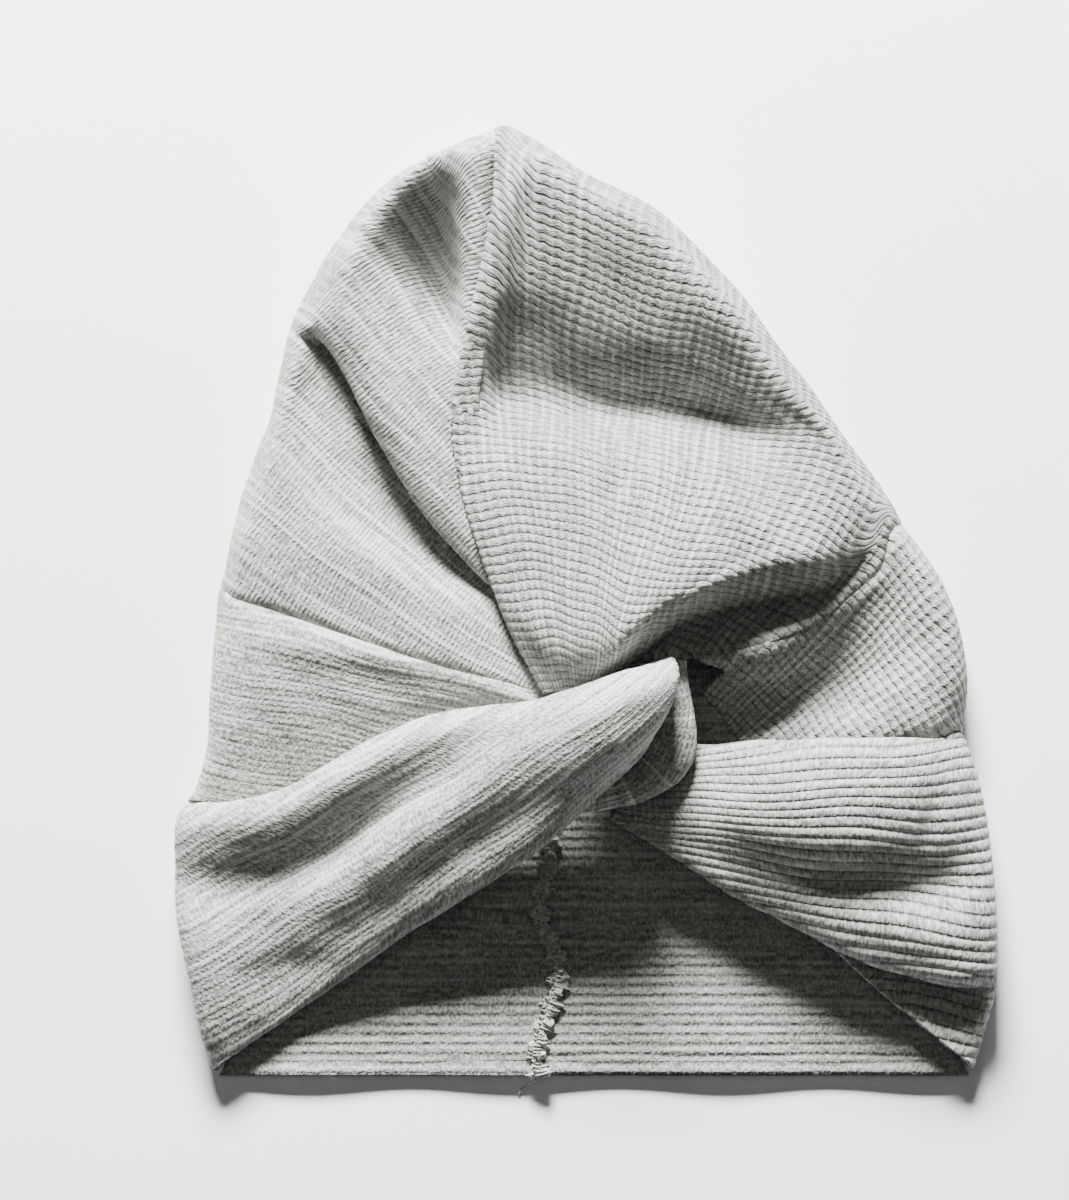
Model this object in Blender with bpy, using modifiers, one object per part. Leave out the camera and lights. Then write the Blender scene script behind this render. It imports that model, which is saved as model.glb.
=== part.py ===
"""Twist-front turban headwrap of ribbed knit, lying flat with its front up.

Metres, +Z up, +Y from the hem to the crown. The origin is at the middle of the base.
Every cloth piece is a fan of sections that run from the outline to the knot. A section
starts under the turned edge, rolls over the outline and then follows its own places.
"""
from collections import namedtuple

import bmesh
import bpy
from mathutils import Vector
import numpy as np

# Driving dimensions
WIDTH = 0.260          # across the widest part of the bands
LENGTH = 0.302         # from the hem to the tip of the crown
LOFT = 0.052           # height of the knot's cloth above the base
CLOTH = 0.0022         # thickness of the doubled knit of the front
BACK_CLOTH = 0.0030    # thickness of the doubled knit of the back
GAP = 0.0004           # clearance between neighbouring pieces
SEAM_GAP = 0.0016      # the same across a seam, whose two sides slope away
TUCK = 0.0090          # how far the cloth runs under behind its turned edge
EDGE_ROUND = 0.0050    # how far in the turned edge's shoulder lies
BEAD_RADIUS = 0.0017   # overlocked seam allowance at the centre back
BEAD_RUN = 0.150       # its free length, from the hem inwards
BEAD_POINTS = 28

# Places are shares: x of half the width, y of half the length, rise of the loft
HALF_WIDTH = WIDTH / 2
HALF_LENGTH = LENGTH / 2
MIDDLE = (0.0, -0.05)  # the turned edges point at this place

Section = namedtuple("Section", "edge far mid near crest knot")
CrownSection = namedtuple("CrownSection", "edge rim dip bulge mid near knot")
StrapSection = namedtuple("StrapSection", "edge far mid near knot turn tail")
WrapSection = namedtuple("WrapSection", "under outer crest inner")

SEAM_RIGHT = Section((.775, .158, .28), (.705, .066, .30), (.560, -.035, .37),
                     (.430, -.085, .44), (.345, -.104, .44), (.255, -.112, .44))
SEAM_LEFT = Section((-.897, .015, .30), (-.735, -.022, .37), (-.495, -.097, .42),
                    (-.245, -.160, .41), (-.165, -.180, .37), (-.095, -.198, .31))

# Right crown, from the fold at the middle round to the seam with the side
CROWN_RIGHT = (
    CrownSection((-.216, .991, .33), (-.210, .845, .34), (-.232, .654, .33),
                 (-.262, .420, .32), (-.235, .235, .34), (-.140, -.020, .34),
                 (-.040, -.180, .34)),
    CrownSection((-.217, .994, .34), (-.218, .845, .42), (-.259, .654, .44),
                 (-.318, .420, .38), (-.300, .235, .40), (-.200, .000, .42),
                 (-.100, -.190, .38)),
    CrownSection((-.190, .996, .34), (-.192, .845, .54), (-.232, .650, .48),
                 (-.290, .420, .39), (-.272, .235, .48), (-.172, .000, .52),
                 (-.070, -.185, .41)),
    CrownSection((-.120, .965, .34), (-.125, .895, .61), (-.150, .660, .42),
                 (-.200, .425, .19), (-.190, .270, .50), (-.115, .010, .58),
                 (-.040, -.180, .42)),
    CrownSection((.000, .900, .34), (-.008, .828, .67), (-.040, .640, .46), (-.070, .415, .18),
                 (-.060, .300, .46), (-.030, .010, .66), (.005, -.165, .43)),
    CrownSection((.190, .805, .34), (.162, .735, .68), (.110, .560, .44), (.065, .410, .18),
                 (.030, .290, .52), (.030, .030, .74), (.030, -.155, .44)),
    CrownSection((.370, .650, .34), (.332, .592, .62), (.270, .500, .42), (.200, .400, .18),
                 (.140, .270, .58), (.080, .020, .80), (.050, -.148, .45)),
    CrownSection((.500, .500, .34), (.465, .465, .52), (.420, .430, .40), (.350, .375, .21),
                 (.260, .240, .60), (.130, .030, .81), (.065, -.142, .45)),
    CrownSection((.620, .360, .34), (.590, .340, .44), (.560, .320, .42), (.480, .270, .44),
                 (.370, .180, .64), (.170, .035, .79), (.080, -.138, .45)),
    CrownSection((.700, .262, .33), (.655, .215, .41), (.600, .175, .48), (.520, .140, .57),
                 (.395, .105, .66), (.190, .020, .76), (.090, -.132, .43)),
    CrownSection((.745, .205, .32), (.680, .140, .36), (.622, .102, .43), (.545, .080, .55),
                 (.400, .060, .64), (.210, .000, .69), (.100, -.125, .41)),
    CrownSection((.763, .178, .30), (.692, .102, .32), (.632, .058, .32), (.555, .015, .30),
                 (.415, -.018, .30), (.232, -.055, .31), (.122, -.116, .36)),
    CrownSection(*SEAM_RIGHT[:2], (.634, .014, .33), *SEAM_RIGHT[2:4],
                 (.240, -.112, .44), (.140, -.114, .42)),
)

# Right side, from the seam down to just under the band
SIDE_RIGHT = (
    SEAM_RIGHT,
    Section((.830, .090, .31), (.725, .015, .27), (.590, -.080, .27), (.450, -.130, .32),
            (.370, -.150, .30), (.300, -.162, .25)),
    Section((.872, .025, .33), (.755, -.045, .26), (.610, -.118, .20), (.450, -.165, .19),
            (.350, -.185, .15), (.275, -.192, .11)),
    Section((.910, -.060, .34), (.790, -.115, .28), (.630, -.165, .18), (.455, -.200, .14),
            (.350, -.212, .11), (.275, -.220, .08)),
    Section((.924, -.150, .34), (.800, -.185, .34), (.640, -.215, .23), (.465, -.238, .14),
            (.360, -.242, .11), (.285, -.250, .08)),
    Section((.919, -.245, .29), (.810, -.250, .35), (.660, -.268, .27), (.480, -.280, .17),
            (.380, -.286, .12), (.310, -.290, .09)),
    Section((.918, -.278, .26), (.800, -.300, .27), (.660, -.315, .22), (.490, -.322, .17),
            (.400, -.325, .13), (.340, -.328, .10)),
)

# Right band, from its upper fold down to the lip at the hem
BAND_RIGHT = (
    Section((.922, -.288, .26), (.770, -.335, .38), (.590, -.345, .40), (.400, -.350, .37),
            (.295, -.345, .30), (.185, -.330, .17)),
    Section((.928, -.300, .27), (.765, -.290, .43), (.585, -.290, .46), (.400, -.298, .44),
            (.305, -.304, .36), (.195, -.300, .19)),
    Section((.940, -.330, .29), (.775, -.315, .52), (.590, -.315, .58), (.400, -.325, .54),
            (.300, -.330, .41), (.185, -.320, .20)),
    Section((.962, -.400, .31), (.800, -.395, .54), (.610, -.400, .64), (.410, -.395, .61),
            (.300, -.385, .46), (.180, -.350, .20)),
    Section((.980, -.480, .31), (.820, -.485, .49), (.630, -.485, .60), (.415, -.455, .59),
            (.290, -.430, .46), (.165, -.380, .20)),
    Section((.990, -.580, .30), (.840, -.585, .36), (.650, -.560, .46), (.420, -.510, .51),
            (.275, -.467, .43), (.130, -.400, .20)),
    Section((.996, -.680, .33), (.855, -.672, .41), (.665, -.625, .42), (.420, -.562, .43),
            (.258, -.500, .37), (.095, -.420, .20)),
    Section((1.00, -.780, .32), (.865, -.772, .36), (.670, -.722, .35), (.415, -.622, .35),
            (.240, -.536, .31), (.065, -.446, .19)),
    Section((.998, -.818, .23), (.865, -.795, .25), (.672, -.742, .26), (.410, -.634, .27),
            (.235, -.534, .24), (.060, -.445, .17)),
    Section((.990, -.850, .15), (.855, -.800, .12), (.665, -.740, .14), (.405, -.612, .21),
            (.240, -.520, .20), (.064, -.434, .15)),
    Section((.945, -.985, .12), (.825, -.895, .16), (.655, -.770, .17), (.420, -.572, .19),
            (.255, -.492, .17), (.078, -.412, .13)),
)

# Left band, from its lower fold up; it crosses the knot and turns down on the right
BAND_LEFT = (
    StrapSection((-.905, -.985, .12), (-.700, -.815, .14), (-.420, -.645, .24),
                 (-.150, -.495, .38), (.030, -.350, .51), (.120, -.260, .56),
                 (.090, -.250, .54)),
    StrapSection((-.912, -.975, .13), (-.700, -.848, .17), (-.420, -.678, .30),
                 (-.150, -.528, .47), (.040, -.388, .60), (.140, -.288, .62),
                 (.110, -.275, .52)),
    StrapSection((-.935, -.900, .23), (-.710, -.795, .22), (-.430, -.635, .41),
                 (-.160, -.490, .59), (.040, -.360, .77), (.158, -.262, .77),
                 (.115, -.250, .55)),
    StrapSection((-.962, -.790, .29), (-.720, -.715, .28), (-.440, -.565, .50),
                 (-.170, -.420, .70), (.040, -.305, .91), (.182, -.225, .83),
                 (.120, -.220, .57)),
    StrapSection((-.985, -.690, .30), (-.730, -.640, .31), (-.440, -.490, .51),
                 (-.180, -.350, .76), (.045, -.255, .96), (.200, -.190, .84),
                 (.130, -.195, .58)),
    StrapSection((-.998, -.610, .26), (-.735, -.570, .33), (-.435, -.425, .44),
                 (-.172, -.300, .72), (.050, -.215, .98), (.208, -.160, .84),
                 (.135, -.175, .58)),
    StrapSection((-1.00, -.540, .30), (-.735, -.495, .46), (-.432, -.352, .54),
                 (-.158, -.260, .69), (.055, -.182, .93), (.208, -.138, .79),
                 (.135, -.158, .57)),
    StrapSection((-.998, -.485, .33), (-.738, -.435, .51), (-.430, -.292, .57),
                 (-.143, -.236, .66), (.062, -.158, .83), (.203, -.125, .70),
                 (.135, -.145, .56)),
    StrapSection((-.992, -.454, .29), (-.740, -.396, .41), (-.430, -.256, .48),
                 (-.130, -.213, .56), (.068, -.154, .69), (.200, -.122, .61),
                 (.130, -.140, .53)),
    StrapSection((-.980, -.440, .24), (-.730, -.415, .28), (-.420, -.280, .37),
                 (-.120, -.225, .45), (.065, -.170, .52), (.170, -.150, .52),
                 (.120, -.160, .52)),
)

# Left side, from just under the band up to the seam
SIDE_LEFT = (
    Section((-.967, -.430, .22), (-.740, -.440, .17), (-.430, -.300, .27),
            (-.200, -.250, .34), (-.140, -.245, .32), (-.090, -.240, .29)),
    Section((-.950, -.400, .25), (-.740, -.380, .22), (-.430, -.242, .31),
            (-.200, -.218, .35), (-.140, -.220, .33), (-.090, -.225, .30)),
    Section((-.925, -.300, .31), (-.750, -.270, .34), (-.450, -.205, .38),
            (-.210, -.200, .38), (-.145, -.208, .34), (-.090, -.215, .30)),
    Section((-.915, -.180, .32), (-.750, -.165, .37), (-.460, -.160, .41),
            (-.220, -.185, .40), (-.155, -.198, .35), (-.092, -.208, .30)),
    Section((-.906, -.080, .32), (-.745, -.085, .37), (-.475, -.125, .42),
            (-.230, -.172, .41), (-.160, -.190, .36), (-.094, -.203, .31)),
    SEAM_LEFT,
)

# Left crown, from the seam up over the pleat to the fold at the middle
CROWN_LEFT = (
    CrownSection(SEAM_LEFT[0], (-.818, -.003, .34), *SEAM_LEFT[1:]),
    CrownSection((-.870, .120, .33), (-.790, .095, .37), (-.700, .060, .40),
                 (-.470, -.020, .44), (-.240, -.095, .39), (-.165, -.140, .35),
                 (-.100, -.180, .30)),
    CrownSection((-.830, .240, .33), (-.760, .205, .38), (-.680, .160, .41),
                 (-.470, .060, .43), (-.250, -.030, .36), (-.170, -.090, .32),
                 (-.105, -.160, .29)),
    CrownSection((-.790, .350, .32), (-.730, .315, .36), (-.660, .262, .37),
                 (-.460, .110, .35), (-.262, .005, .31), (-.175, -.050, .29),
                 (-.110, -.140, .28)),
    CrownSection((-.740, .500, .30), (-.672, .440, .28), (-.602, .375, .26),
                 (-.440, .165, .24), (-.262, .035, .25), (-.175, -.020, .26),
                 (-.110, -.120, .28)),
    CrownSection((-.722, .565, .26), (-.640, .495, .20), (-.555, .418, .18),
                 (-.402, .205, .18), (-.238, .062, .22), (-.160, .000, .26),
                 (-.095, -.110, .29)),
    CrownSection((-.712, .590, .29), (-.655, .520, .32), (-.592, .442, .34),
                 (-.446, .224, .36), (-.288, .066, .34), (-.180, -.010, .29),
                 (-.100, -.100, .29)),
    CrownSection((-.702, .612, .31), (-.640, .552, .40), (-.572, .480, .45),
                 (-.424, .262, .46), (-.270, .098, .38), (-.175, .010, .30),
                 (-.095, -.090, .29)),
    CrownSection((-.650, .700, .33), (-.600, .640, .43), (-.540, .560, .46),
                 (-.396, .335, .42), (-.255, .150, .32), (-.165, .030, .27),
                 (-.090, -.070, .28)),
    CrownSection((-.560, .810, .35), (-.528, .762, .47), (-.470, .650, .33),
                 (-.365, .420, .35), (-.250, .200, .26), (-.160, .050, .25),
                 (-.085, -.060, .28)),
    CrownSection((-.470, .890, .37), (-.450, .850, .48), (-.405, .670, .15),
                 (-.340, .460, .31), (-.242, .220, .23), (-.155, .060, .25),
                 (-.080, -.050, .28)),
    CrownSection((-.360, .940, .37), (-.355, .905, .48), (-.328, .640, .07),
                 (-.315, .470, .28), (-.228, .220, .23), (-.145, .060, .25),
                 (-.075, -.045, .28)),
    CrownSection((-.270, .975, .35), (-.268, .890, .42), (-.275, .700, .32),
                 (-.278, .470, .21), (-.205, .210, .25), (-.135, .055, .27),
                 (-.070, -.040, .28)),
    CrownSection((-.235, .986, .33), (-.231, .880, .25), (-.236, .700, .25),
                 (-.240, .460, .19), (-.190, .200, .31), (-.125, .050, .29),
                 (-.065, -.035, .28)),
)

# The inner layer of the left band, a crescent round the knot's right side
KNOT_WRAP = (
    WrapSection((.190, -.125, .36), (.230, -.122, .42), (.213, -.122, .46), (.165, -.130, .45)),
    WrapSection((.200, -.180, .36), (.240, -.180, .44), (.222, -.180, .50), (.165, -.180, .49)),
    WrapSection((.210, -.245, .36), (.254, -.250, .44), (.232, -.245, .51), (.155, -.220, .50)),
    WrapSection((.200, -.300, .36), (.248, -.320, .44), (.225, -.302, .51), (.135, -.250, .49)),
    WrapSection((.165, -.342, .36), (.200, -.376, .43), (.182, -.350, .50), (.100, -.285, .48)),
    WrapSection((.110, -.372, .35), (.130, -.408, .41), (.122, -.380, .47), (.055, -.320, .48)),
    WrapSection((.050, -.385, .33), (.050, -.424, .38), (.050, -.400, .43), (.000, -.345, .45)),
    WrapSection((-.010, -.395, .31), (-.025, -.430, .34), (-.020, -.412, .39), (-.050, -.370, .40)),
)

# A cloth piece: its sections, grid counts, finish, the end section that is sewn,
# and whether its outer edge turns under
Panel = namedtuple("Panel", "name sections across along finish seam turned")
RIGHT_ROUND = (
    Panel("crown_right", CROWN_RIGHT, 32, 20, "knit_crown", "last", True),
    Panel("side_right", SIDE_RIGHT, 12, 14, "knit_crown", "first", True),
    Panel("band_right", BAND_RIGHT, 22, 16, "knit_band", None, True),
)
LEFT_ROUND = (
    Panel("band_left", BAND_LEFT, 20, 22, "knit_band", None, True),
    Panel("side_left", SIDE_LEFT, 10, 14, "knit_crown", "last", True),
    Panel("crown_left", CROWN_LEFT, 34, 17, "knit_crown", "first", True),
)
WRAP = Panel("knot_wrap", KNOT_WRAP, 14, 8, "knit_band", None, False)

HEM = ((.936, -.992), (.470, -.996), (-.100, -1.00), (-.453, -.996), (-.896, -.990))

# The yoke seam, from the centre back seam outwards
YOKE_SEAM = ((-.110, -.655), (-.350, -.630), (-.600, -.560), (-.790, -.440))

# Path of the overlocked allowance: x share, and the share of its run from the hem
BEAD_PATH = ((-.111, .00), (-.120, .05), (-.112, .09), (-.082, .16), (-.064, .22),
             (-.084, .28), (-.112, .35), (-.104, .41), (-.088, .46), (-.100, .56),
             (-.108, .70), (-.108, .85), (-.110, 1.0))

COLOURS = {"knit_crown": (.57, .57, .55), "knit_band": (.60, .60, .58),
           "knit_back": (.52, .51, .49), "overlock": (.63, .62, .60)}


def clear_scene():
    for obj in list(bpy.data.objects):
        bpy.data.objects.remove(obj)


def spline(points, at):
    """Catmull-Rom curve through points, read at places counted in points from 0."""
    points = np.asarray(points, float)
    padded = np.concatenate([2 * points[:1] - points[1:2], points,
                             2 * points[-1:] - points[-2:-1]])
    index = np.clip(np.floor(at).astype(int), 0, len(points) - 2)
    t = (at - index).reshape(-1, *([1] * (points.ndim - 1)))
    a, b, c, d = (padded[index + shift] for shift in range(4))
    return 0.5 * (2 * b + (c - a) * t + (2 * a - 5 * b + 4 * c - d) * t ** 2
                  + (3 * b - a - 3 * c + d) * t ** 3)


def place(share):
    """A share (x, y, rise) in metres, at the middle of the cloth's thickness."""
    x, y, rise = share
    return np.array((x * HALF_WIDTH, y * HALF_LENGTH, CLOTH + rise * LOFT))


def inward(point):
    """Plan direction from an edge point towards the middle of the turban."""
    aim = np.array((MIDDLE[0] * HALF_WIDTH, MIDDLE[1] * HALF_LENGTH)) - point[:2]
    return np.append(aim / np.linalg.norm(aim), 0.0)


def turned_edge(share, tuck=TUCK):
    """Points of a turned edge: under, floor, outermost and shoulder."""
    top = place(share)
    floor = np.array((top[0], top[1], CLOTH / 2))
    step = inward(top)
    side = (top + floor) / 2 + step * CLOTH / 2
    return [floor + step * tuck, floor + step * EDGE_ROUND, side, top + step * EDGE_ROUND]


def nudge(rows, last, gap):
    """Moves one end section of a fan back from the seam by gap, in plan."""
    rows = rows.copy()
    end, beside = (-1, -2) if last else (0, 1)
    ahead = rows[end, :, :2] - rows[beside, :, :2]
    rows[end, :, :2] -= gap * ahead / np.linalg.norm(ahead, axis=1)[:, None]
    return rows


def fan(panel):
    """The control points of a cloth piece, section by section."""
    rows = []
    for section in panel.sections:
        start = turned_edge(section[0]) if panel.turned else [place(section[0])]
        rows.append(start + [place(share) for share in section[1:]])
    rows = np.array(rows)
    for last in (False, True):
        if ("first", "last")[last] == panel.seam:
            rows = nudge(rows, last, SEAM_GAP / 2)
    return rows


def material(name):
    made = bpy.data.materials.new(name)
    made.use_nodes = True
    shader = made.node_tree.nodes["Principled BSDF"]
    shader.inputs["Base Color"].default_value = (*COLOURS[name], 1.0)
    shader.inputs["Roughness"].default_value = 0.9
    shader.inputs["Metallic"].default_value = 0.0
    return made


def finish_piece(name, mesh, finish, group):
    obj = bpy.data.objects.new(name, mesh)
    obj.data.materials.append(finish)
    group.objects.link(obj)
    return obj


def cloth_piece(panel, finish, group):
    """A grid laid over the fan, given the cloth's thickness on both sides."""
    rows = fan(panel)
    mesh = bpy.data.meshes.new(panel.name)
    grid = bmesh.new()
    bmesh.ops.create_grid(grid, x_segments=panel.along, y_segments=panel.across, size=1.0)
    for vert in grid.verts:
        u = (vert.co.x + 1) / 2 * (rows.shape[1] - 1)
        v = (vert.co.y + 1) / 2 * (rows.shape[0] - 1)
        section = spline(rows, np.array([v]))[0]
        vert.co = Vector(spline(section, np.array([u]))[0])
        vert.co.z = max(vert.co.z, CLOTH / 2)
    grid.to_mesh(mesh)
    grid.free()
    mesh.shade_smooth()
    obj = finish_piece(panel.name, mesh, finish, group)
    wall = obj.modifiers.new("Cloth", "SOLIDIFY")
    wall.thickness = CLOTH
    wall.offset = 0.0


def edge_line(panel):
    """Where the back meets the tucked ends of one fan, in plan."""
    ends = np.array([turned_edge(s[0], TUCK + 2 * GAP)[0] for s in panel.sections])
    line = spline(ends, np.linspace(0, len(ends) - 1, panel.across + 1))
    return [tuple(point[:2]) for point in line]


def back_outline():
    """The back's edge, clockwise from the centre seam at the crown."""
    hem = [(x * HALF_WIDTH, y * HALF_LENGTH) for x, y in HEM]
    right = [point for panel in RIGHT_ROUND for point in edge_line(panel)]
    left = [point for panel in LEFT_ROUND for point in edge_line(panel)]
    return right + hem + left


def flat_piece(name, outline, finish, group):
    """A flat panel of the back, cut to an outline in plan."""
    curve = bpy.data.curves.new(name, "CURVE")
    curve.dimensions = "2D"
    curve.fill_mode = "BOTH"
    curve.extrude = BACK_CLOTH / 2
    line = curve.splines.new("POLY")
    line.points.add(len(outline) - 1)
    for point, (x, y) in zip(line.points, outline):
        point.co = (x, y, 0.0, 1.0)
    line.use_cyclic_u = True
    obj = finish_piece(name, curve, finish, group)
    obj.location.z = BACK_CLOTH / 2
    return obj


def clip(outline, point, normal):
    """The part of a closed outline that lies on the normal's side of a line."""
    kept = []
    side = [(x - point[0]) * normal[0] + (y - point[1]) * normal[1] for x, y in outline]
    for i, here in enumerate(outline):
        there, a, b = outline[i - 1], side[i - 1], side[i]
        if (a > 0) != (b > 0):
            share = a / (a - b)
            kept.append((there[0] + share * (here[0] - there[0]),
                         there[1] + share * (here[1] - there[1])))
        if b > 0:
            kept.append(here)
    return kept


def make_back(finish, group):
    """The back in its sewn panels: the right half, the left yoke and left band."""
    outline = back_outline()
    seam = YOKE_SEAM[0][0] * HALF_WIDTH
    flat_piece("back_right", clip(outline, (seam + GAP / 2, 0), (1, 0)), finish, group)
    left = clip(outline, (seam - GAP / 2, 0), (-1, 0))
    start = Vector((YOKE_SEAM[0][0] * HALF_WIDTH, YOKE_SEAM[0][1] * HALF_LENGTH))
    end = Vector((YOKE_SEAM[-1][0] * HALF_WIDTH, YOKE_SEAM[-1][1] * HALF_LENGTH))
    run = (end - start).normalized()
    up = Vector((run.y, -run.x))
    lift = up * GAP / 2
    flat_piece("back_left_yoke", clip(left, start + lift, up), finish, group)
    flat_piece("back_left_band", clip(left, start - lift, -up), finish, group)


def make_bead(finish, group):
    """The overlocked allowance, a soft bead that wanders along the centre back."""
    path = np.array([(x * HALF_WIDTH, run * BEAD_RUN - HALF_LENGTH + BEAD_RADIUS,
                      BACK_CLOTH + GAP + BEAD_RADIUS) for x, run in BEAD_PATH])
    curve = bpy.data.curves.new("back_seam", "CURVE")
    curve.dimensions = "3D"
    curve.bevel_depth = BEAD_RADIUS
    curve.bevel_resolution = 2
    curve.use_fill_caps = True
    points = spline(path, np.linspace(0, len(path) - 1, BEAD_POINTS))
    line = curve.splines.new("POLY")
    line.points.add(len(points) - 1)
    for point, co in zip(line.points, points):
        point.co = (*co, 1.0)
    finish_piece("back_seam", curve, finish, group)


def main():
    clear_scene()
    group = bpy.data.collections.new("turban_headwrap")
    bpy.context.scene.collection.children.link(group)
    finishes = {name: material(name) for name in COLOURS}
    for panel in RIGHT_ROUND + LEFT_ROUND + (WRAP,):
        cloth_piece(panel, finishes[panel.finish], group)
    make_back(finishes["knit_back"], group)
    make_bead(finishes["overlock"], group)


main()
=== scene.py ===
# Twist-front turban headwrap of ribbed knit, lying on a pale table
import math

import bmesh
import bpy
import numpy as np
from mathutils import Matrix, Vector


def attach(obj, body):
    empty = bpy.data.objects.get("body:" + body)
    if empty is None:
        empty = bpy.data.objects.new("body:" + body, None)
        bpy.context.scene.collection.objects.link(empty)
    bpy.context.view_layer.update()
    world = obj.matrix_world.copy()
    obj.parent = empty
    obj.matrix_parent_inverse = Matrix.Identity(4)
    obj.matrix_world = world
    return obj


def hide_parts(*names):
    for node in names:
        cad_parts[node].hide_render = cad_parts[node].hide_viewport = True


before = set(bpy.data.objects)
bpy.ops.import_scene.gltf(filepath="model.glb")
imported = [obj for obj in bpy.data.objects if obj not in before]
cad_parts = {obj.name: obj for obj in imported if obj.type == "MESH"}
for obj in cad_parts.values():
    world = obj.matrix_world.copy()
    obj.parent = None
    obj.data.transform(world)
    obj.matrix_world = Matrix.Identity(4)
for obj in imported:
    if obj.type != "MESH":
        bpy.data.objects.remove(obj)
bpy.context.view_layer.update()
scene = bpy.context.scene

# the turban's own sizes, in metres: change these with the model
turban = {
    "halfWidth": 0.130,
    "halfLength": 0.151,
    "loft": 0.052,  # a rise of 1 stands this high
    "cloth": 0.0022,
    "backCloth": 0.0030,
    "tuck": 0.0090,  # how far a turned edge runs on underneath
    "edgeRound": 0.0050,
    "middle": (0.0, -0.05),  # turned edges point here, in shares of the half sizes
    "seamGap": 0.0003,
    "foldStart": (0.004, 0.006),  # height where folds begin, and the height over which they grow
    "ribStart": (0.002, 0.003),
    "crossRib": 0.6,  # height of the wales beside that of the ribs they cross
}
halfSizes = np.array((turban["halfWidth"], turban["halfLength"]))
tiny = 1e-12

# camera first: straight down, the hem towards the lower edge of the frame
topCamera = {"spot": (-0.0164, 0.0006, 1.435), "turn": (0.0, 0.0, 0.0), "lens": 135, "reach": 10}


def addCamera(spec):
    bpy.ops.object.camera_add(location=spec["spot"], rotation=spec["turn"])
    camera = bpy.context.object
    camera.name = "camera"
    camera.data.lens = spec["lens"]
    camera.data.clip_end = spec["reach"]
    scene.camera = camera


addCamera(topCamera)
print("camera set")


# geometry helpers for cloth
def spline(points, at):
    # smooth curve through the points along the first axis, read at places counted from 0
    points = np.asarray(points, float)
    padded = np.concatenate([2 * points[:1] - points[1:2], points, 2 * points[-1:] - points[-2:-1]])
    index = np.clip(np.floor(at).astype(int), 0, len(points) - 2)
    t = (at - index).reshape(-1, *([1] * (points.ndim - 1)))
    a, b, c, d = (padded[index + shift] for shift in range(4))
    return 0.5 * (2 * b + (c - a) * t + (2 * a - 5 * b + 4 * c - d) * t ** 2
                  + (3 * b - a - 3 * c + d) * t ** 3)


def smoothPath(shares, count):
    # a path in plan, in metres, through places given in shares of the half sizes
    return spline(np.array(shares) * halfSizes, np.linspace(0, len(shares) - 1, count))


def place(share):
    x, y, rise = share
    return np.array((x * turban["halfWidth"], y * turban["halfLength"],
                     turban["cloth"] + rise * turban["loft"]))


def turnedEdge(share):
    # under, floor, outermost and shoulder of an edge that turns under
    top = place(share)
    floor = np.array((top[0], top[1], turban["cloth"] / 2))
    aim = np.array(turban["middle"]) * halfSizes - top[:2]
    step = np.append(aim / np.linalg.norm(aim), 0.0)
    side = (top + floor) / 2 + step * turban["cloth"] / 2
    shoulder = step * turban["edgeRound"]
    return [floor + step * turban["tuck"], floor + shoulder, side, top + shoulder]


def controlRows(sections, turned):
    rows = []
    for section in sections:
        start = turnedEdge(section[0]) if turned else [place(section[0])]
        rows.append(start + [place(share) for share in section[1:]])
    return np.array(rows)


def evenPlaces(points, count):
    # parameters along a control grid's first axis that give even steps
    looks = 40 * len(points)
    fine = np.linspace(0, len(points) - 1, looks)
    line = spline(points, fine)
    steps = np.linalg.norm(np.diff(line, axis=0), axis=-1).mean(axis=-1)
    run = np.concatenate([[0.0], np.cumsum(steps)])
    return np.interp(np.linspace(0, run[-1], count), run, fine)


def pathReach(xy, path):
    # distance from each place to a path, and how far along the path it lies, 0 to 1
    best = np.full(xy.shape[:-1], np.inf)
    along = np.zeros(xy.shape[:-1])
    lengths = np.linalg.norm(np.diff(path, axis=0), axis=1)
    before = np.concatenate([[0.0], np.cumsum(lengths)])
    for i, length in enumerate(lengths):
        run = (path[i + 1] - path[i]) / length
        rel = xy - path[i]
        t = np.clip(rel @ run, 0, length)
        gap = np.linalg.norm(rel - t[..., None] * run, axis=-1)
        nearer = gap < best
        best = np.where(nearer, gap, best)
        along = np.where(nearer, (before[i] + t) / before[-1], along)
    return best, along


def foldHeight(points, folds):
    # soft ridges and valleys along their paths, fading out at both ends
    height = np.zeros(points.shape[:-1])
    steps = 24
    for fold in folds:
        gap, along = pathReach(points[..., :2], smoothPath(fold["path"], steps))
        ends = np.sin(np.pi * np.clip(along, 0.02, 0.98)) ** 0.5
        height += fold["rise"] * ends * np.exp(-(gap / fold["width"]) ** 2)
    return height


# the limp cloth's slight unevenness: wave lengths in millimetres across and along
limpness = {"depth": 0.00022, "waves": ((7.1, 11.3), (13.7, -6.3), (4.1, 3.7)), "finest": 0.7,
            "swell": 17.0}


def softWaves(points, phase):
    x, y = points[..., 0] * 1000, points[..., 1] * 1000
    one, two, three = (np.sin(x / across + y / along + (i + 1) * phase)
                       for i, (across, along) in enumerate(limpness["waves"]))
    three = limpness["finest"] * three * np.sin(y / limpness["swell"] + phase)
    return limpness["depth"] * (one + two + three)


def aboveTable(points, start):
    # 0 up to a height and 1 well above it
    return np.clip((points[..., 2] - start[0]) / start[1], 0, 1)


def gridNormals(points):
    across = np.gradient(points, axis=0)
    along = np.gradient(points, axis=1)
    normal = np.cross(along, across)
    return normal / np.maximum(np.linalg.norm(normal, axis=-1, keepdims=True), tiny)


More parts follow.
